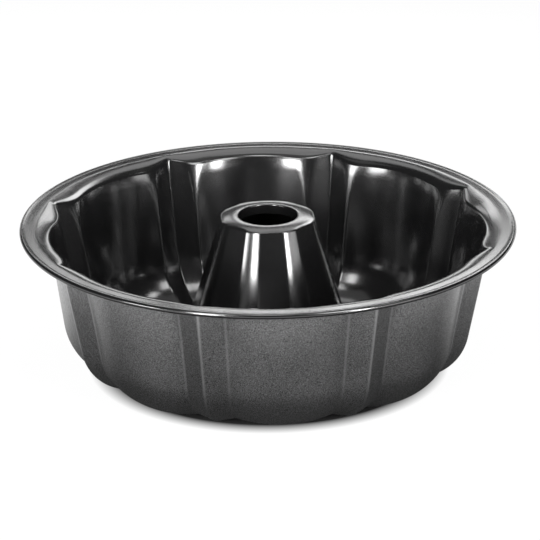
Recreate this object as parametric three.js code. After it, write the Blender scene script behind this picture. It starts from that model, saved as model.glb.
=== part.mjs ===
// Fluted tube pan: a drawn sheet-steel ring mould with a facetted centre tube.
// Millimetres, +Z up. The origin is on the table under the middle, and a lobe faces -Y.
import * as THREE from 'three';

// Sheet, wire and the free space left between pieces
const SHEET = 0.5;
const WIRE_DIAMETER = 1;
const CLEARANCE = 0.3;

// Rim: outside radius of the rolled hem, height of the flat brim, and its width from the hem to the wall
const RIM_RADIUS = 125;
const BRIM_HEIGHT = 75.5;
const BRIM_WIDTH = 7.5;

// Flutes: wide lobes with a narrow V-shaped fin between each pair
const LOBES = 8;
const FIN_HALF_ANGLE = 6.3;

// The wall is drawn through three guide profiles. The inset is how far inside the flat brim the straight
// wall would meet it, the draft leans from the vertical, the corner rounds into the trough, and the lift
// is the height of the guide's lowest point. The land is the flat share of the trough's bottom.
const LOBE_GUIDE = { inset: 7.2, draft: 8, corner: 29.5, lift: -0.5 };
const GROOVE_GUIDE = { inset: 9.2, draft: 10.5, corner: 26, lift: 2 };
const FIN_GUIDE = { inset: 3.1, draft: 11.5, corner: 30.5, lift: 0.3 };
const LAND_SHARE = 0.25;

// Centre tube: corner radius of its facets at the top, total height, lean, half the turn of a narrow facet,
// the slight crown of a wide one, rounded shoulder, and the vent with its turned-in lip
const TUBE_TOP_RADIUS = 23.6;
const TUBE_HEIGHT = 80;
const TUBE_HALF_ANGLE = 16.7;
const FACET_HALF_ANGLE = 9;
const FACET_CROWN = 0.05;
const SHOULDER_RADIUS = 1.5;
const VENT_RADIUS = 15.2;
const LIP_BEND = 0.8;
const LIP_DEPTH = 5;

// Folded lock seam between the trough and the foot of the tube, which flares out to it
const FLARE_WIDTH = 5.5;
const SEAM_HEIGHT = 10.2;
const SEAM_SLOPE = 45;
const SEAM_BEND = 1;
const COLLAR_DEPTH = 4.2;
const HOOK_HEIGHT = 2.4;

// How finely the round stretches are cut
const LOBE_STEPS = 3;
const BEND_STEPS = 2;
const TROUGH_STEPS = 3;
const CORNER_STEPS = 5;
const FILLET_STEPS = 3;
const HEM_STEPS = 8;
const WIRE_STEPS = 6;
const GROOVE_ROUNDING = { lobe: 0.91, flank: 0.22 };

const STEEL = { color: 0x3a3a3c, metalness: 0.55, roughness: 0.42 };
const TUBE_STEEL = { color: 0x2e2e30, metalness: 0.55, roughness: 0.38 };
const BARE_WIRE = { color: 0xb4b6b8, metalness: 1, roughness: 0.4 };

const rad = THREE.MathUtils.degToRad;
const lerp = THREE.MathUtils.lerp;
const hemRadius = WIRE_DIAMETER / 2 + CLEARANCE + SHEET;
const hemCentre = { r: RIM_RADIUS - hemRadius, z: BRIM_HEIGHT - hemRadius };
const brimInner = RIM_RADIUS - BRIM_WIDTH;
const coneRadius = (z) => TUBE_TOP_RADIUS + (TUBE_HEIGHT - z) * Math.tan(rad(TUBE_HALF_ANGLE));
const seamRadius = coneRadius(SEAM_HEIGHT) + FLARE_WIDTH;
const halfPitch = Math.PI / LOBES;
const grooveAngle = halfPitch - rad(FIN_HALF_ANGLE);
const facetAngle = halfPitch - rad(FACET_HALF_ANGLE);

// Points on an arc in the (r, z) half-plane, both ends included. Angles are in radians.
function arc(centre, radius, from, to, steps) {
  return Array.from({ length: steps + 1 }, (_, i) => {
    const angle = lerp(from, to, i / steps);
    return { r: centre.r + radius * Math.cos(angle), z: centre.z + radius * Math.sin(angle) };
  });
}

// A row that is the same all round, and a row with its own point on each guide.
const roundRow = (point) => ({ lobe: point, groove: point, fin: point });
const flutedRows = (lobe, groove, fin) => lobe.map((_, i) => ({
  lobe: lobe[i],
  groove: groove[i],
  fin: fin[i],
}));

// One sector's columns, from the groove on its left to the fin crease on its right.
function sectorColumns() {
  const lobe = [GROOVE_ROUNDING.lobe];
  for (let i = LOBE_STEPS - 1; i > 0; i -= 1) lobe.push(i / LOBE_STEPS);
  const left = lobe.map((along) => ({ side: -1, on: 'lobe', along }));
  const right = lobe.map((along) => ({ side: 1, on: 'lobe', along })).reverse();
  return [
    { side: -1, on: 'flank', along: GROOVE_ROUNDING.flank },
    ...left,
    { side: 1, on: 'lobe', along: 0 },
    ...right,
    { side: 1, on: 'flank', along: GROOVE_ROUNDING.flank },
    { side: 1, on: 'flank', along: 1 },
  ];
}

const columns = [];
for (let sector = 0; sector < LOBES; sector += 1) {
  for (const column of sectorColumns()) columns.push({ ...column, turn: 2 * halfPitch * sector });
}

// A row's point on one column. In plan a lobe is an arc through both its grooves, and a fin's flank is
// straight from the groove to the crease. The corner is the groove's turn from the middle of the lobe.
function pointOn({ side, on, along, turn }, { lobe, groove, fin, corner = grooveAngle }) {
  const halfChord = groove.r * Math.sin(corner);
  const chordRadius = groove.r * Math.cos(corner);
  let across;
  let out;
  let z;
  if (on === 'lobe') {
    const rise = lobe.r - chordRadius;
    const radius = (halfChord ** 2 + rise ** 2) / (2 * rise);
    const sweep = Math.asin(halfChord / radius);
    const fall = radius * (1 - Math.cos(along * sweep));
    across = radius * Math.sin(along * sweep);
    out = lobe.r - fall;
    z = lerp(lobe.z, groove.z, fall / rise);
  } else {
    across = lerp(halfChord, fin.r * Math.sin(halfPitch), along);
    out = lerp(chordRadius, fin.r * Math.cos(halfPitch), along);
    z = lerp(groove.z, fin.z, along);
  }
  across *= side;
  const x = out * Math.sin(turn) + across * Math.cos(turn);
  const y = across * Math.sin(turn) - out * Math.cos(turn);
  return new THREE.Vector3(x, y, z);
}

// The skin under a sheet: each point moves square to the faces round it by the sheet's thickness.
function offsetSkin(skin, thickness) {
  const count = columns.length;
  const faceNormal = (i, j) => {
    const next = (j + 1) % count;
    const diagonal = skin[i + 1][next].clone().sub(skin[i][j]);
    return diagonal.cross(skin[i][next].clone().sub(skin[i + 1][j])).normalize();
  };
  return skin.map((row, i) => row.map((point, j) => {
    const faces = [];
    for (const level of [i - 1, i]) {
      if (level < 0 || level > skin.length - 2) continue;
      faces.push(faceNormal(level, j), faceNormal(level, (j + count - 1) % count));
    }
    const normal = faces.reduce((sum, face) => sum.add(face), new THREE.Vector3()).normalize();
    const square = faces.reduce((sum, face) => sum + face.dot(normal), 0) / faces.length;
    return point.clone().addScaledVector(normal, -thickness / square);
  }));
}

// A closed solid from rings of points, the last ring joined to the first.
function ringSolid(rings) {
  const count = columns.length;
  const index = [];
  rings.forEach((_, i) => {
    const here = i * count;
    const there = ((i + 1) % rings.length) * count;
    for (let j = 0; j < count; j += 1) {
      const next = (j + 1) % count;
      index.push(here + j, there + j, there + next, here + j, there + next, here + next);
    }
  });
  const geometry = new THREE.BufferGeometry().setFromPoints(rings.flat());
  geometry.setIndex(index);
  geometry.computeVertexNormals();
  return geometry;
}

// Sheet metal from the rows of its upper skin. What would go below the table becomes a flat pad on it.
function sheetMetal(rows) {
  const upper = rows.map((row) => columns.map((column) => pointOn(column, row)));
  upper.flat().forEach((p) => p.setZ(Math.max(p.z, SHEET)));
  const lower = offsetSkin(upper, SHEET);
  lower.forEach((ring, i) => ring.forEach((p, j) => p.setZ(upper[i][j].z > SHEET ? Math.max(p.z, 0) : 0)));
  return ringSolid([...upper, ...lower.reverse()]);
}

// Shell

// One guide from the seam to the brim: trough, land, corner and brim fillet.
function shellGuide({ inset, draft, corner, lift }) {
  const lean = rad(draft);
  const mouth = brimInner - inset;
  const low = lift + SHEET;
  const drop = BRIM_HEIGHT - (low + corner);
  const centre = { r: mouth - (corner + drop * Math.sin(lean)) / Math.cos(lean), z: low + corner };
  const run = (centre.r - seamRadius) * (1 - LAND_SHARE);
  const land = { r: seamRadius + run, z: low };
  const climb = SEAM_HEIGHT - low;
  const troughRadius = (run ** 2 + climb ** 2) / (2 * climb);
  const troughCentre = { r: land.r, z: low + troughRadius };
  const troughStart = -Math.PI / 2 - Math.asin(run / troughRadius);
  const filletRadius = inset / Math.tan((Math.PI / 2 - lean) / 2);
  const filletCentre = { r: brimInner, z: BRIM_HEIGHT - filletRadius };
  return [
    ...arc(troughCentre, troughRadius, troughStart, -Math.PI / 2, TROUGH_STEPS).slice(1),
    ...arc(centre, corner, -Math.PI / 2, -lean, CORNER_STEPS),
    ...arc(filletCentre, filletRadius, Math.PI - lean, Math.PI / 2, FILLET_STEPS),
  ];
}

const seamCentre = {
  r: seamRadius - SEAM_BEND * Math.sin(rad(SEAM_SLOPE)),
  z: SEAM_HEIGHT - SEAM_BEND * Math.cos(rad(SEAM_SLOPE)),
};
const collar = { r: seamCentre.r - SEAM_BEND, end: seamCentre.z - COLLAR_DEPTH };

function panShell() {
  const collarRows = [
    { r: collar.r, z: collar.end },
    ...arc(seamCentre, SEAM_BEND, Math.PI, Math.PI / 2 - rad(SEAM_SLOPE), BEND_STEPS),
  ];
  const hemEnd = Math.PI + Math.asin((hemRadius - SHEET - CLEARANCE) / hemRadius);
  const hemRows = arc(hemCentre, hemRadius, Math.PI / 2, -hemEnd, HEM_STEPS);
  return sheetMetal([
    ...collarRows.map(roundRow),
    ...flutedRows(shellGuide(LOBE_GUIDE), shellGuide(GROOVE_GUIDE), shellGuide(FIN_GUIDE)),
    ...hemRows.map(roundRow),
  ]);
}

// Centre tube

// A facetted row: wide facets in line with the lobes and narrow ones in line with the fins.
function facetRow({ r, z }) {
  return {
    lobe: { r: r * Math.cos(facetAngle) + FACET_CROWN, z },
    groove: { r, z },
    fin: { r: r * Math.cos(rad(FACET_HALF_ANGLE)), z },
    corner: facetAngle,
  };
}

function centreTube() {
  const lean = rad(TUBE_HALF_ANGLE);
  const slope = rad(SEAM_SLOPE);
  const lipCentre = { r: VENT_RADIUS + LIP_BEND, z: TUBE_HEIGHT - LIP_BEND };
  const shoulderInset = SHOULDER_RADIUS * Math.tan((Math.PI / 2 - lean) / 2);
  const shoulderCentre = { r: TUBE_TOP_RADIUS - shoulderInset, z: TUBE_HEIGHT - SHOULDER_RADIUS };

  // The foot hooks round the collar: down inside it, under its end and up again outside.
  const legRadius = collar.r - CLEARANCE;
  const footCentre = { r: legRadius - SEAM_BEND, z: seamCentre.z };
  const turnRadius = SHEET / 2 + CLEARANCE;
  const turnCentre = { r: legRadius + turnRadius, z: collar.end + turnRadius - CLEARANCE };
  const foot = arc(footCentre, SEAM_BEND, Math.PI / 2 - slope, 0, BEND_STEPS);
  const hook = arc(turnCentre, turnRadius, Math.PI, 2 * Math.PI, BEND_STEPS + 1);
  const hookEnd = { r: legRadius + 2 * turnRadius, z: turnCentre.z + HOOK_HEIGHT };

  // The flare leaves the straight side and reaches the foot's bend along one arc.
  const bend = Math.PI / 2 - lean - slope;
  const flareRadius = ((foot[0].r - coneRadius(foot[0].z)) * Math.cos(lean)) / (1 - Math.cos(bend));
  const flareCentre = {
    r: foot[0].r + flareRadius * Math.sin(slope),
    z: foot[0].z + flareRadius * Math.cos(slope),
  };
  const flare = arc(flareCentre, flareRadius, Math.PI + lean, 1.5 * Math.PI - slope, BEND_STEPS);

  const lip = [
    { r: VENT_RADIUS, z: TUBE_HEIGHT - LIP_DEPTH },
    ...arc(lipCentre, LIP_BEND, Math.PI, Math.PI / 2, BEND_STEPS),
  ];
  const side = [...arc(shoulderCentre, SHOULDER_RADIUS, Math.PI / 2, lean, BEND_STEPS), flare[0]];
  return sheetMetal([
    ...lip.map(roundRow),
    ...side.map(facetRow),
    ...flare.slice(1, -1).map(roundRow),
    ...[...foot, ...hook, hookEnd].map(roundRow),
  ]);
}

// Rim wire
function rimWire() {
  const section = arc(hemCentre, WIRE_DIAMETER / 2, 0, -2 * Math.PI, WIRE_STEPS).slice(1);
  return ringSolid(section.map((point) => columns.map((column) => pointOn(column, roundRow(point)))));
}

function piece(name, geometry, look) {
  const mesh = new THREE.Mesh(geometry, new THREE.MeshStandardMaterial(look));
  mesh.name = name;
  return mesh;
}

const pan = new THREE.Group();
pan.add(piece('pan_shell', panShell(), STEEL));
pan.add(piece('centre_tube', centreTube(), TUBE_STEEL));
pan.add(piece('rim_wire', rimWire(), BARE_WIRE));

export default pan;
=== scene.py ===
import math
import bpy
from mathutils import Matrix, Vector


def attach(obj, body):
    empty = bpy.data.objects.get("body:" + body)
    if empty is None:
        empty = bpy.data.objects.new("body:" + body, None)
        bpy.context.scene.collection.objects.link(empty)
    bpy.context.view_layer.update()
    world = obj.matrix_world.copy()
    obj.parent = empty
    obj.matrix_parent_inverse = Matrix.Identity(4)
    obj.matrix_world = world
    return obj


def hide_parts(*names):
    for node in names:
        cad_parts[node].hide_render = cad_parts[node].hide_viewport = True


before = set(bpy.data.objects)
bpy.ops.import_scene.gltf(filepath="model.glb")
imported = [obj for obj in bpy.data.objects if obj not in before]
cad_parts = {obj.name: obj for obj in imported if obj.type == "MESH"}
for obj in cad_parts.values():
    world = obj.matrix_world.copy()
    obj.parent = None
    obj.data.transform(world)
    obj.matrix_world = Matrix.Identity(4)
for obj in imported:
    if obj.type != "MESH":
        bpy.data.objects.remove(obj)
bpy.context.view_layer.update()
print("frame loaded:", ", ".join(sorted(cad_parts)))

scene = bpy.context.scene
scene.view_settings.view_transform = "Standard"
millimetre = 0.001


# shared press-tool lines, all lengths in millimetres
flutes = {
    "lobes": 8,
    "finHalfAngle": math.radians(6.3),  # from a fin's crease to the groove beside it
    "facetHalfAngle": math.radians(9),  # the same on the tube, where the fins are narrow flats
    "sheet": 0.5,
    "sharpFold": math.radians(50),  # folds past this angle keep a hard edge
    "lobeSteps": 10,
    "grooveSteps": 6,
    "flankSteps": 4,
    "creaseSteps": 4,
}
halfPitch = math.pi / flutes["lobes"]
grooveAngle = halfPitch - flutes["finHalfAngle"]
facetAngle = halfPitch - flutes["facetHalfAngle"]


def mix(a, b, t):
    return a + (b - a) * t


def arcPoints(centre, radius, start, end, steps):
    # (radius, height) pairs, both ends included
    found = []
    for i in range(steps + 1):
        angle = mix(start, end, i / steps)
        found.append((centre[0] + radius * math.cos(angle), centre[1] + radius * math.sin(angle)))
    return found


def linePoints(start, end, steps):
    return [(mix(start[0], end[0], i / steps), mix(start[1], end[1], i / steps)) for i in range(steps + 1)]


def bezier(hull, t):
    u = 1 - t
    shares = (u ** 3, 3 * u * u * t, 3 * u * t * t, t ** 3)
    return tuple(sum(w * p[k] for w, p in zip(shares, hull)) for k in (0, 1))


def softCorner(a, b, c, t):
    return a.lerp(b, t).lerp(b.lerp(c, t), t)


def halfSector(lobe, groove, fin, turn, soft):
    # from the middle of a lobe, round its groove and along the fin's flank to the crease
    chord = groove[0] * math.cos(turn)
    halfChord = groove[0] * math.sin(turn)
    corner = Vector((chord, halfChord, groove[1]))
    crease = Vector((fin[0] * math.cos(halfPitch), fin[0] * math.sin(halfPitch), fin[1]))
    rise = lobe[0] - chord
    radius = (halfChord ** 2 + rise ** 2) / (2 * rise)
    sweep = math.asin(halfChord / radius)

    def onLobe(t):
        fall = radius * (1 - math.cos(t * sweep))
        return Vector((lobe[0] - fall, radius * math.sin(t * sweep), mix(lobe[1], groove[1], fall / rise)))

    lobeEnd, flankStart, flankEnd = 1 - soft["lobe"], soft["flank"], 1 - soft["crease"]
    path = [onLobe(lobeEnd * i / flutes["lobeSteps"]) for i in range(flutes["lobeSteps"] + 1)]
    leave, join = path[-1], corner.lerp(crease, flankStart)
    for i in range(1, flutes["grooveSteps"] + 1):
        path.append(softCorner(leave, corner, join, i / flutes["grooveSteps"]))
    for i in range(1, flutes["flankSteps"] + 1):
        path.append(corner.lerp(crease, mix(flankStart, flankEnd, i / flutes["flankSteps"])))
    near = path[-1]
    reach, turned = math.hypot(near.x, near.y), 2 * halfPitch - math.atan2(near.y, near.x)
    far = Vector((reach * math.cos(turned), reach * math.sin(turned), near.z))  # near, mirrored at the crease
    for i in range(1, flutes["creaseSteps"] + 1):
        path.append(softCorner(near, crease, far, 0.5 * i / flutes["creaseSteps"]))
    return path


def roundHalf(point):
    # the same number of points on a plain circle
    r, z = point
    steps = flutes["lobeSteps"] + flutes["grooveSteps"] + flutes["flankSteps"] + flutes["creaseSteps"]
    angles = [halfPitch * i / steps for i in range(steps + 1)]
    return [Vector((r * math.cos(a), r * math.sin(a), z)) for a in angles]


def fullRing(half):
    # a half sector mirrored, then turned round the axis. A lobe faces the front.
    left = [Vector((p.x, -p.y, p.z)) for p in reversed(half[1:])]
    sector = left + half[:-1]
    ring = []
    for n in range(flutes["lobes"]):
        turn = Matrix.Rotation(2 * halfPitch * n - math.pi / 2, 3, "Z")
        ring.extend(turn @ p for p in sector)
    return ring


def pressedSheet(name, rings, materials):
    # rings of points become a skin, and Solidify gives the skin its thickness away from the food side
    count = len(rings[0])
    table = flutes["sheet"]  # lowest the food side goes, so that the outside stands on the table
    points = [Vector((p.x, p.y, max(p.z, table))) * millimetre for ring in rings for p in ring]
    faces = []
    for i in range(len(rings) - 1):
        for j in range(count):
            k = (j + 1) % count
            faces.append((i * count + j, (i + 1) * count + j, (i + 1) * count + k, i * count + k))
    mesh = bpy.data.meshes.new(name)
    mesh.from_pydata(points, [], faces)
    mesh.update()
    piece = bpy.data.objects.new(name, mesh)
    scene.collection.objects.link(piece)
    for material in materials:
        mesh.materials.append(material)
    thick = piece.modifiers.new("sheet", "SOLIDIFY")
    thick.thickness = flutes["sheet"] * millimetre
    thick.offset = -1
    thick.use_even_offset = True
    thick.material_offset = 1
    thick.material_offset_rim = 1
    bpy.context.view_layer.update()
    solid = bpy.data.meshes.new_from_object(piece.evaluated_get(bpy.context.evaluated_depsgraph_get()))
    piece.modifiers.clear()
    piece.data = solid
    solid.name = name
    for v in solid.vertices:
        v.co.z = max(v.co.z, 0)
    solid.shade_smooth()
    solid.set_sharp_from_angle(angle=flutes["sharpFold"])
    print(name, "has", len(solid.polygons), "faces")
    return piece


# node helpers: each adds what it is named for and hands back the output
def objectPlace(tree):
    return tree.nodes.new("ShaderNodeTexCoord").outputs["Object"]


def splitPlace(tree):
    split = tree.nodes.new("ShaderNodeSeparateXYZ")
    tree.links.new(objectPlace(tree), split.inputs[0])
    return split.outputs


def addMath(tree, operation, first, second):
    node = tree.nodes.new("ShaderNodeMath")
    node.operation = operation
    tree.links.new(first, node.inputs[0])
    tree.links.new(second, node.inputs[1])
    return node.outputs[0]


def addRange(tree, value, low, high, start=0, end=1):
    node = tree.nodes.new("ShaderNodeMapRange")
    for socket, number in (("From Min", low), ("From Max", high), ("To Min", start), ("To Max", end)):
        node.inputs[socket].default_value = number
    tree.links.new(value, node.inputs["Value"])
    return node.outputs["Result"]


def addRamp(tree, value, stops):
    node = tree.nodes.new("ShaderNodeValToRGB")
    elements = node.color_ramp.elements
    while len(elements) < len(stops):
        elements.new(0.5)
    for element, (at, color) in zip(elements, stops):
        element.position = at
        element.color = (*color, 1)
    tree.links.new(value, node.inputs["Fac"])
    return node.outputs["Color"]


def addNoise(tree, scale, detail, rough):
    node = tree.nodes.new("ShaderNodeTexNoise")
    node.inputs["Scale"].default_value = scale
    node.inputs["Detail"].default_value = detail
    node.inputs["Roughness"].default_value = rough
    tree.links.new(objectPlace(tree), node.inputs["Vector"])
    return node.outputs["Fac"]


# painted highlight: a paler line is painted down each groove and each crease, for the light that the folds
# catch
def paintedFoldHighlights(tree, tone, foldHighlight):
    place = splitPlace(tree)
    angle = addMath(tree, "ARCTAN2", place["Y"], place["X"])
    sector = tree.nodes.new("ShaderNodeMath")  # 0 at the middle of a lobe, half a pitch at a fin's crease
    sector.operation = "PINGPONG"
    sector.inputs[1].default_value = halfPitch
    tree.links.new(angle, sector.inputs[0])
    groove, wide = grooveAngle / halfPitch, foldHighlight["width"]
    peaks = [(groove - wide, 0), (groove, foldHighlight["groove"]), (groove + wide, 0)]
    peaks += [(1 - wide, 0), (1, foldHighlight["crease"])]
    stops = [(at, (value, value, value)) for at, value in peaks]
    line = addRamp(tree, addRange(tree, sector.outputs[0], 0, halfPitch), stops)
    rise = addRange(tree, place["Z"], foldHighlight["from"] * millimetre, foldHighlight["to"] * millimetre)
    highlighted = tree.nodes.new("ShaderNodeMix")
    highlighted.data_type = "RGBA"
    tree.links.new(addMath(tree, "MULTIPLY", line, rise), highlighted.inputs["Factor"])
    tree.links.new(tone, highlighted.inputs["A"])
    highlighted.inputs["B"].default_value = (*foldHighlight["color"], 1)
    return highlighted.outputs["Result"]


# coated sheet: glossy near-black on the food side, satin grey with metal speckle outside
spray = {
    "lacquerRough": 0.14, "lacquerIor": 2.0,
    "flakeDetail": 2.0, "flakeRough": 0.6,
    "cloudDetail": 3.0, "cloudRough": 0.5, "cloudFrom": 0.3, "cloudTo": 0.7,
}


def coating(name, look):
    material = bpy.data.materials.new(name)
    material.use_nodes = True
    tree = material.node_tree
    shader = tree.nodes["Principled BSDF"]
    shader.inputs["Metallic"].default_value = look["metallic"]
    shader.inputs["IOR"].default_value = look["ior"]
    shader.inputs["Coat Weight"].default_value = look["lacquer"]
    shader.inputs["Coat Roughness"].default_value = spray["lacquerRough"]
    shader.inputs["Coat IOR"].default_value = spray["lacquerIor"]

    flake = addNoise(tree, look["flakeScale"], spray["flakeDetail"], spray["flakeRough"])
    tone = addRamp(tree, flake, [(look["flakeFrom"], look["dark"]), (look["flakeTo"], look["light"])])
    # paler lines along the folds, a painted highlight
    if "foldHighlight" in look:
        tone = paintedFoldHighlights(tree, tone, look["foldHighlight"])
    tree.links.new(tone, shader.inputs["Base Color"])

    # slow changes of gloss, as a sprayed coat has
    cloud = addNoise(tree, look["cloudScale"], spray["cloudDetail"], spray["cloudRough"])
    gloss = addRange(tree, cloud, spray["cloudFrom"], spray["cloudTo"], look["roughFrom"], look["roughTo"])
    tree.links.new(gloss, shader.inputs["Roughness"])

    grain = tree.nodes.new("ShaderNodeBump")
    grain.inputs["Strength"].default_value = look["grain"]
    grain.inputs["Distance"].default_value = look["grainDepth"] * millimetre
    tree.links.new(flake, grain.inputs["Height"])
    tree.links.new(grain.outputs["Normal"], shader.inputs["Normal"])
    return material


foodCoat = coating("food_coat", {
    "dark": (0.004, 0.004, 0.004), "light": (0.010, 0.010, 0.0105),
    "metallic": 0.0, "ior": 1.9, "lacquer": 0.0,
    "flakeScale": 2300, "flakeFrom": 0.40, "flakeTo": 0.70, "cloudScale": 45,
    "roughFrom": 0.15, "roughTo": 0.19, "grain": 0.14, "grainDepth": 0.05,
})
outerCoat = coating("outer_coat", {
    "dark": (0.03, 0.03, 0.0305), "light": (0.62, 0.62, 0.625),
    "metallic": 1.0, "ior": 1.5, "lacquer": 0.8,
    "flakeScale": 3200, "flakeFrom": 0.36, "flakeTo": 0.74, "cloudScale": 38,
    "roughFrom": 0.42, "roughTo": 0.48, "grain": 0.2, "grainDepth": 0.06,
    # painted highlight: paler lines down the grooves and creases outside
    "foldHighlight": {
        "color": (0.58, 0.58, 0.585), "width": 0.026, "groove": 0.5, "crease": 0.8,
        "from": 8.0, "to": 30.0,  # the painted highlight lines fade in over these heights
    },
})
print("coatings ready")


# shell: trough, fluted wall, brim and the hem rolled round the wire
shell = {
    "seam": (50.04, 10.2), "seamSlope": math.radians(45), "seamBend": 1.0, "collarDepth": 4.2,
    "lobe": {"mouth": 110.3, "draft": 8.0, "corner": 29.5, "lift": -0.5},
    "groove": {"mouth": 108.3, "draft": 10.5, "corner": 26.0, "lift": 2.0},
    "fin": {"mouth": 114.4, "draft": 11.5, "corner": 30.5, "lift": 0.3},
    "land": 6.0, "brimInner": 118.2, "brimHeight": 75.5, "rimRadius": 124.92, "hemRadius": 1.3,
    "hemEnd": math.radians(202), "valley": 0.35, "valleyWidth": 1.1,
    # share of each fold that is rounded, low on the wall and where it meets the brim
    "soft": {"lobe": 0.05, "flank": 0.1, "crease": 0.05}, "softFrom": 48.0,
    "softTop": {"lobe": 0.36, "flank": 0.55, "crease": 0.16},
    # bend into the brim, half as long on the wall as on the brim, and its two pulls
    "turn": {"depth": 0.5, "lift": 0.6, "knee": 0.29},
    "collarSteps": 3, "seamSteps": 6, "troughSteps": 14, "landSteps": 3, "cornerSteps": 18, "wallSteps": 8,
    "turnSteps": 12, "brimSteps": 4, "hemSteps": 22,
}


def shellGuide(guide):
    lean = math.radians(guide["draft"])
    low = guide["lift"] + flutes["sheet"]
    drop = shell["brimHeight"] - (low + guide["corner"])
    cornerR = guide["mouth"] - (guide["corner"] + drop * math.sin(lean)) / math.cos(lean)
    landR = cornerR - shell["land"]
    run, climb = landR - shell["seam"][0], shell["seam"][1] - low
    troughRadius = (run ** 2 + climb ** 2) / (2 * climb)
    troughAt = (landR, low + troughRadius)
    troughStart = -math.pi / 2 - math.asin(run / troughRadius)
    trough = arcPoints(troughAt, troughRadius, troughStart, -math.pi / 2, shell["troughSteps"])
    land = linePoints((landR, low), (cornerR, low), shell["landSteps"])
    cornerAt = (cornerR, low + guide["corner"])
    corner = arcPoints(cornerAt, guide["corner"], -math.pi / 2, -lean, shell["cornerSteps"])

    turn, steps = shell["turn"], shell["turnSteps"]
    top = shell["brimHeight"] - shell["valley"]
    mouth = guide["mouth"] - shell["valley"] * math.tan(lean)
    depth = turn["depth"] * (shell["brimInner"] - mouth)
    bendFrom = (mouth - depth * math.sin(lean), top - depth * math.cos(lean))
    onWall = (mix(bendFrom[0], mouth, turn["lift"]), mix(bendFrom[1], top, turn["lift"]))
    onBrim = (mix(shell["brimInner"], mouth, turn["knee"]), top)
    hull = [bendFrom, onWall, onBrim, (shell["brimInner"], top)]
    bend = [bezier(hull, i / steps) for i in range(steps)]
    wall = linePoints(corner[-1], bendFrom, shell["wallSteps"])
    return trough[1:] + land[1:-1] + corner + wall[1:-1] + bend


def shellRings():
    seamR, seamZ = shell["seam"]
    bend, slope = shell["seamBend"], shell["seamSlope"]
    bendAt = (seamR - bend * math.sin(slope), seamZ - bend * math.cos(slope))
    collarR, collarEnd = bendAt[0] - bend, bendAt[1] - shell["collarDepth"]
    collar = linePoints((collarR, collarEnd), (collarR, bendAt[1]), shell["collarSteps"])
    collar = collar[:-1] + arcPoints(bendAt, bend, math.pi, math.pi / 2 - slope, shell["seamSteps"])
    rings = [roundHalf(p) for p in collar]
    guides = [shellGuide(shell[name]) for name in ("lobe", "groove", "fin")]
    for row in zip(*guides):
        rise = max(row[0][1] - shell["softFrom"], 0) / (shell["brimHeight"] - shell["softFrom"])
        soft = {part: mix(shell["soft"][part], shell["softTop"][part], rise ** 2) for part in shell["soft"]}
        rings.append(halfSector(*row, grooveAngle, soft))
    hemAt = (shell["rimRadius"] - shell["hemRadius"], shell["brimHeight"] - shell["hemRadius"])
    top = shell["brimHeight"] - shell["valley"]
    foot = hemAt[0] - shell["valleyWidth"]
    brim = linePoints((shell["brimInner"], top), (foot, top), shell["brimSteps"])
    brim.append((mix(foot, hemAt[0], 0.5), top + 0.5 * shell["valley"]))  # half way up to the hem
    hem = arcPoints(hemAt, shell["hemRadius"], math.pi / 2, -shell["hemEnd"], shell["hemSteps"])
    rings += [roundHalf(p) for p in brim + hem]
    return [fullRing(half) for half in rings]


panShell = pressedSheet("fluted_shell", shellRings(), [foodCoat, outerCoat])
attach(panShell, "root")
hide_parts("pan_shell")


# centre tube: lip, domed top ring, facetted side, flare and the hooked foot
tube = {
    "topRadius": 23.6, "height": 79.9, "halfAngle": math.radians(16.7), "shoulder": 0.8, "crown": 0.05,
    "ventRadius": 15.0, "lipBend": 0.62, "lipDepth": 5.0, "clearance": 0.3, "hookHeight": 2.4,
    # rounding of a facet's edge, how far a narrow facet bows there, and the share of it that the bow takes
    "edge": 0.7, "bulge": math.radians(8), "bow": 0.95,
    # the top ring is highest at the vent and falls outward along this radius
    "dome": 32.0, "ringMargin": 1.0,  # its last row of points stops this far short of the shoulder
    "lipSteps": 3, "lipBendSteps": 8, "ringSteps": 8, "shoulderSteps": 8, "sideSteps": 12, "flareSteps": 12,
    "footSteps": 5, "hookSteps": 10,
}


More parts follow.
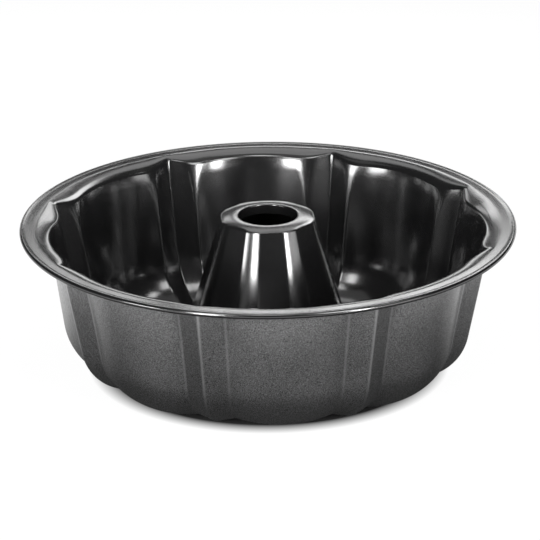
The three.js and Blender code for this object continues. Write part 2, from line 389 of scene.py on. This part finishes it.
def tubeRings():
    lean, slope, bend = tube["halfAngle"], shell["seamSlope"], shell["seamBend"]
    height, gap = tube["height"], tube["clearance"]
    seamAt = (shell["seam"][0] - bend * math.sin(slope), shell["seam"][1] - bend * math.cos(slope))
    legRadius = seamAt[0] - bend - gap
    collarEnd = seamAt[1] - shell["collarDepth"]
    foot = arcPoints((legRadius - bend, seamAt[1]), bend, math.pi / 2 - slope, 0, tube["footSteps"])
    turn = flutes["sheet"] / 2 + gap
    turnAt = (legRadius + turn, collarEnd + turn - gap)
    hook = arcPoints(turnAt, turn, math.pi, 2 * math.pi, tube["hookSteps"])
    hook.append((legRadius + 2 * turn, turnAt[1] + tube["hookHeight"]))

    coneR = tube["topRadius"] + (height - foot[0][1]) * math.tan(lean)
    flareRadius = (foot[0][0] - coneR) * math.cos(lean) / (1 - math.cos(math.pi / 2 - lean - slope))
    flareAt = (foot[0][0] + flareRadius * math.sin(slope), foot[0][1] + flareRadius * math.cos(slope))
    flare = arcPoints(flareAt, flareRadius, math.pi + lean, 1.5 * math.pi - slope, tube["flareSteps"])

    ventR = tube["ventRadius"]
    lipAt = (ventR + tube["lipBend"], height - tube["lipBend"])
    lip = linePoints((ventR, height - tube["lipDepth"]), (ventR, lipAt[1]), tube["lipSteps"])[:-1]
    lip += arcPoints(lipAt, tube["lipBend"], math.pi, math.pi / 2, tube["lipBendSteps"])

    def fall(r):
        return max(r - lipAt[0], 0) ** 2 / (2 * tube["dome"])

    inset = tube["shoulder"] * math.tan((math.pi / 2 - lean) / 2)
    edgeRadius = tube["topRadius"] + fall(tube["topRadius"]) * math.tan(lean)
    shoulderAt = (edgeRadius - inset, height - tube["shoulder"])
    shoulder = arcPoints(shoulderAt, tube["shoulder"], math.pi / 2, lean, tube["shoulderSteps"])
    lip += linePoints(lip[-1], (shoulder[0][0] - tube["ringMargin"], height), tube["ringSteps"])[1:]
    lip = [(r, z - fall(r)) for r, z in lip]
    shoulder = [(r, z - fall(r)) for r, z in shoulder]
    side = shoulder + linePoints(shoulder[-1], flare[0], tube["sideSteps"])[1:]

    rings = [roundHalf(p) for p in lip]
    for r, z in side:
        rings.append(facet(r, z, 1))
    for i, (r, z) in enumerate(flare[1:-1]):
        rings.append(facet(r, z, 1 - (i + 1) / (len(flare) - 1)))
    rings += [roundHalf(p) for p in foot + hook]
    return [fullRing(half) for half in rings]


def facet(r, z, flatness):
    # flat across each lobe and each fin, and round again where flatness runs out
    lobeR = r * math.cos(facetAngle) + tube["crown"]
    narrow = r * math.sin(flutes["facetHalfAngle"])
    finR = r * math.cos(flutes["facetHalfAngle"]) + narrow * math.tan(tube["bulge"])
    lobe, fin = (mix(r, lobeR, flatness), z), (mix(r, finR, flatness), z)
    soft = {
        "lobe": tube["edge"] / (r * math.sin(facetAngle)),
        "flank": tube["edge"] / narrow,
        "crease": tube["bow"] - tube["edge"] / narrow,
    }
    return halfSector(lobe, (r, z), fin, facetAngle, soft)


centreTube = pressedSheet("facetted_tube", tubeRings(), [foodCoat, foodCoat])
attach(centreTube, "root")
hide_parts("centre_tube")


# rim wire: drawn steel with fine marks, closed inside the hem
wireLook = {
    "dark": (0.36, 0.36, 0.37), "light": (0.62, 0.62, 0.63), "rough": 0.34,
    "markScale": 900, "markDetail": 2.0, "markRough": 0.5,
}


def drawnSteel():
    material = bpy.data.materials.new("drawn_steel")
    material.use_nodes = True
    tree = material.node_tree
    shader = tree.nodes["Principled BSDF"]
    shader.inputs["Metallic"].default_value = 1
    shader.inputs["Roughness"].default_value = wireLook["rough"]
    marks = addNoise(tree, wireLook["markScale"], wireLook["markDetail"], wireLook["markRough"])
    tone = addRamp(tree, marks, [(0, wireLook["dark"]), (1, wireLook["light"])])
    tree.links.new(tone, shader.inputs["Base Color"])
    return material


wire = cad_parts["rim_wire"]
wire.data.materials.clear()
wire.data.materials.append(drawnSteel())
print("pieces dressed")


# studio: white floor, soft boxes and a pale room, in metres
studio = {
    "floorSize": 6.0, "floorColor": (0.05, 0.05, 0.05),
    "floorLift": 0.965, "liftFrom": 0.081, "liftTo": 0.092,  # distances at which the paper turns white; nearer the pan it stays dark as a painted contact shadow
    "sweepFrom": -0.05, "sweepTo": 0.05, "nearTo": 0.18,  # the pan mirrors white paper close behind it
    "frontFrom": 0.165, "frontTo": 0.26,  # and in front of it only from farther out; nearer in front it mirrors dark paper, painted shade of the pan
    "room": 0.05, "aim": (0.0, 0.0, 0.05),
    "boxes": [
        # name, middle of the bottom edge, middle of the top edge, width, radiance
        ("foot_left", (-0.48, -0.99, 0.12), (-0.423, -0.822, 0.414), 0.18, 33.0),
        ("box_left", (-0.423, -0.822, 0.414), (-0.29, -0.43, 1.10), 0.18, 8.0),
        ("strip_left", (-0.895, -0.64, 0.11), (-0.895, -0.64, 0.38), 0.30, 15.0),
        ("top_front", (0.0, -0.42, 1.06), (0.0, -0.12, 1.14), 0.22, 6.0),
        ("box_right", (0.53, -0.89, 0.58), (0.40, -0.40, 1.08), 0.28, 6.0),
        ("strip_right", (0.70, -0.85, 0.10), (0.70, -0.85, 0.50), 0.16, 36.0),
        ("side_right", (0.945, -0.565, 0.10), (0.945, -0.565, 0.40), 0.34, 3.0),
        ("top_right", (0.66, -0.08, 0.98), (0.52, -0.08, 1.08), 0.22, 6.0),
        ("box_back", (0.02, 0.62, 0.52), (0.0, 0.30, 1.05), 0.26, 1.3),
        ("side_back", (0.24, 0.58, 0.40), (0.24, 0.58, 0.64), 0.22, 6.0),
        ("low_back", (0.14, 0.62, 0.325), (0.14, 0.62, 0.40), 0.40, 5.0),
        ("horizon", (0.05, 0.62, 0.09), (0.05, 0.62, 0.16), 1.00, 2.4),
        ("ceiling", (0.0, -0.10, 1.30), (0.0, 0.55, 1.30), 1.10, 0.3),
        ("low_left", (-0.18, 0.62, 0.325), (-0.18, 0.62, 0.40), 0.22, 3.0),
    ],
}


def floorPaper():
    material = bpy.data.materials.new("floor_paper")
    material.use_nodes = True
    tree = material.node_tree
    tree.nodes.clear()
    away = tree.nodes.new("ShaderNodeVectorMath")  # distance from the middle, so no lift under the pan and a painted contact shadow round its base
    away.operation = "LENGTH"
    tree.links.new(objectPlace(tree), away.inputs[0])
    distance = away.outputs["Value"]
    lift = addRange(tree, distance, studio["liftFrom"], studio["liftTo"], 0, studio["floorLift"])

    # in reflections the paper is white behind the pan and farther out, and dark close round it and in front,
    # as painted shade of the pan
    sweep = addRange(tree, splitPlace(tree)["Y"], studio["sweepFrom"], studio["sweepTo"])
    behind = addMath(tree, "MULTIPLY", sweep, addRange(tree, distance, studio["liftFrom"], studio["nearTo"]))
    before = addRange(tree, distance, studio["frontFrom"], studio["frontTo"])
    paperSeen = addMath(tree, "MAXIMUM", behind, before)

    rays = tree.nodes.new("ShaderNodeLightPath").outputs
    bounced = addMath(tree, "MAXIMUM", rays["Is Glossy Ray"], rays["Is Transmission Ray"])
    mirrored = addMath(tree, "MULTIPLY", bounced, paperSeen)
    seen = addMath(tree, "ADD", rays["Is Camera Ray"], mirrored)

    paper = tree.nodes.new("ShaderNodeBsdfDiffuse")
    paper.inputs["Color"].default_value = (*studio["floorColor"], 1)
    glow = tree.nodes.new("ShaderNodeEmission")
    tree.links.new(addMath(tree, "MULTIPLY", lift, seen), glow.inputs["Strength"])
    both = tree.nodes.new("ShaderNodeAddShader")
    tree.links.new(paper.outputs[0], both.inputs[0])
    tree.links.new(glow.outputs[0], both.inputs[1])
    out = tree.nodes.new("ShaderNodeOutputMaterial")
    tree.links.new(both.outputs[0], out.inputs["Surface"])
    return material


def buildFloor():
    half = studio["floorSize"] / 2
    corners = [(-half, -half, 0), (half, -half, 0), (half, half, 0), (-half, half, 0)]
    mesh = bpy.data.meshes.new("floor")
    mesh.from_pydata(corners, [], [(0, 1, 2, 3)])
    mesh.materials.append(floorPaper())
    floor = bpy.data.objects.new("floor", mesh)
    scene.collection.objects.link(floor)


def buildLights():
    world = bpy.data.worlds.new("pale_room")
    world.use_nodes = True
    room = world.node_tree.nodes["Background"]
    room.inputs["Color"].default_value = (1, 1, 1, 1)
    room.inputs["Strength"].default_value = studio["room"]
    scene.world = world
    aim = Vector(studio["aim"])
    turn = Matrix.Rotation(math.radians(shot["azimuth"]), 4, "Z")  # the boxes stand round the camera's line
    for name, bottom, top, width, radiance in studio["boxes"]:
        low, high = Vector(bottom), Vector(top)
        tall = (high - low).length
        lamp = bpy.data.lights.new(name, "AREA")
        lamp.shape = "RECTANGLE"
        lamp.size, lamp.size_y = width, tall
        lamp.energy = radiance * math.pi * width * tall
        middle = (low + high) / 2
        up = (high - low).normalized()
        side = up.cross(middle - aim).normalized()
        stand = Matrix((side, up, side.cross(up))).transposed().to_4x4()
        box = bpy.data.objects.new(name, lamp)
        box.matrix_world = turn @ Matrix.Translation(middle) @ stand
        scene.collection.objects.link(box)


# camera: long lens from the front, a little left of a lobe's middle
shot = {
    "azimuth": -5.0, "distance": 1.9046, "elevation": 20.482, "pitch": 21.161, "yaw": 0.029, "roll": -0.449,
    "lens": 252.22, "sensor": 36.0, "pivot": 0.0742, "clipEnd": 20.0,
}


def buildCamera():
    lens = bpy.data.cameras.new("shot")
    lens.lens = shot["lens"]
    lens.sensor_width = shot["sensor"]
    lens.clip_end = shot["clipEnd"]
    camera = bpy.data.objects.new("shot", lens)
    scene.collection.objects.link(camera)
    turn = Matrix.Rotation(math.radians(shot["azimuth"]), 4, "Z")
    rise = math.radians(shot["elevation"])
    at = Vector((0, -shot["distance"] * math.cos(rise), shot["distance"] * math.sin(rise)))
    aimed = Matrix.Rotation(math.radians(-shot["yaw"]), 4, "Z")
    aimed = aimed @ Matrix.Rotation(math.radians(90 - shot["pitch"]), 4, "X")
    aimed = aimed @ Matrix.Rotation(math.radians(shot["roll"]), 4, "Z")
    camera.matrix_world = Matrix.Translation((0, 0, shot["pivot"])) @ turn @ Matrix.Translation(at) @ aimed
    scene.camera = camera


buildFloor()
buildCamera()
buildLights()
print("studio ready")
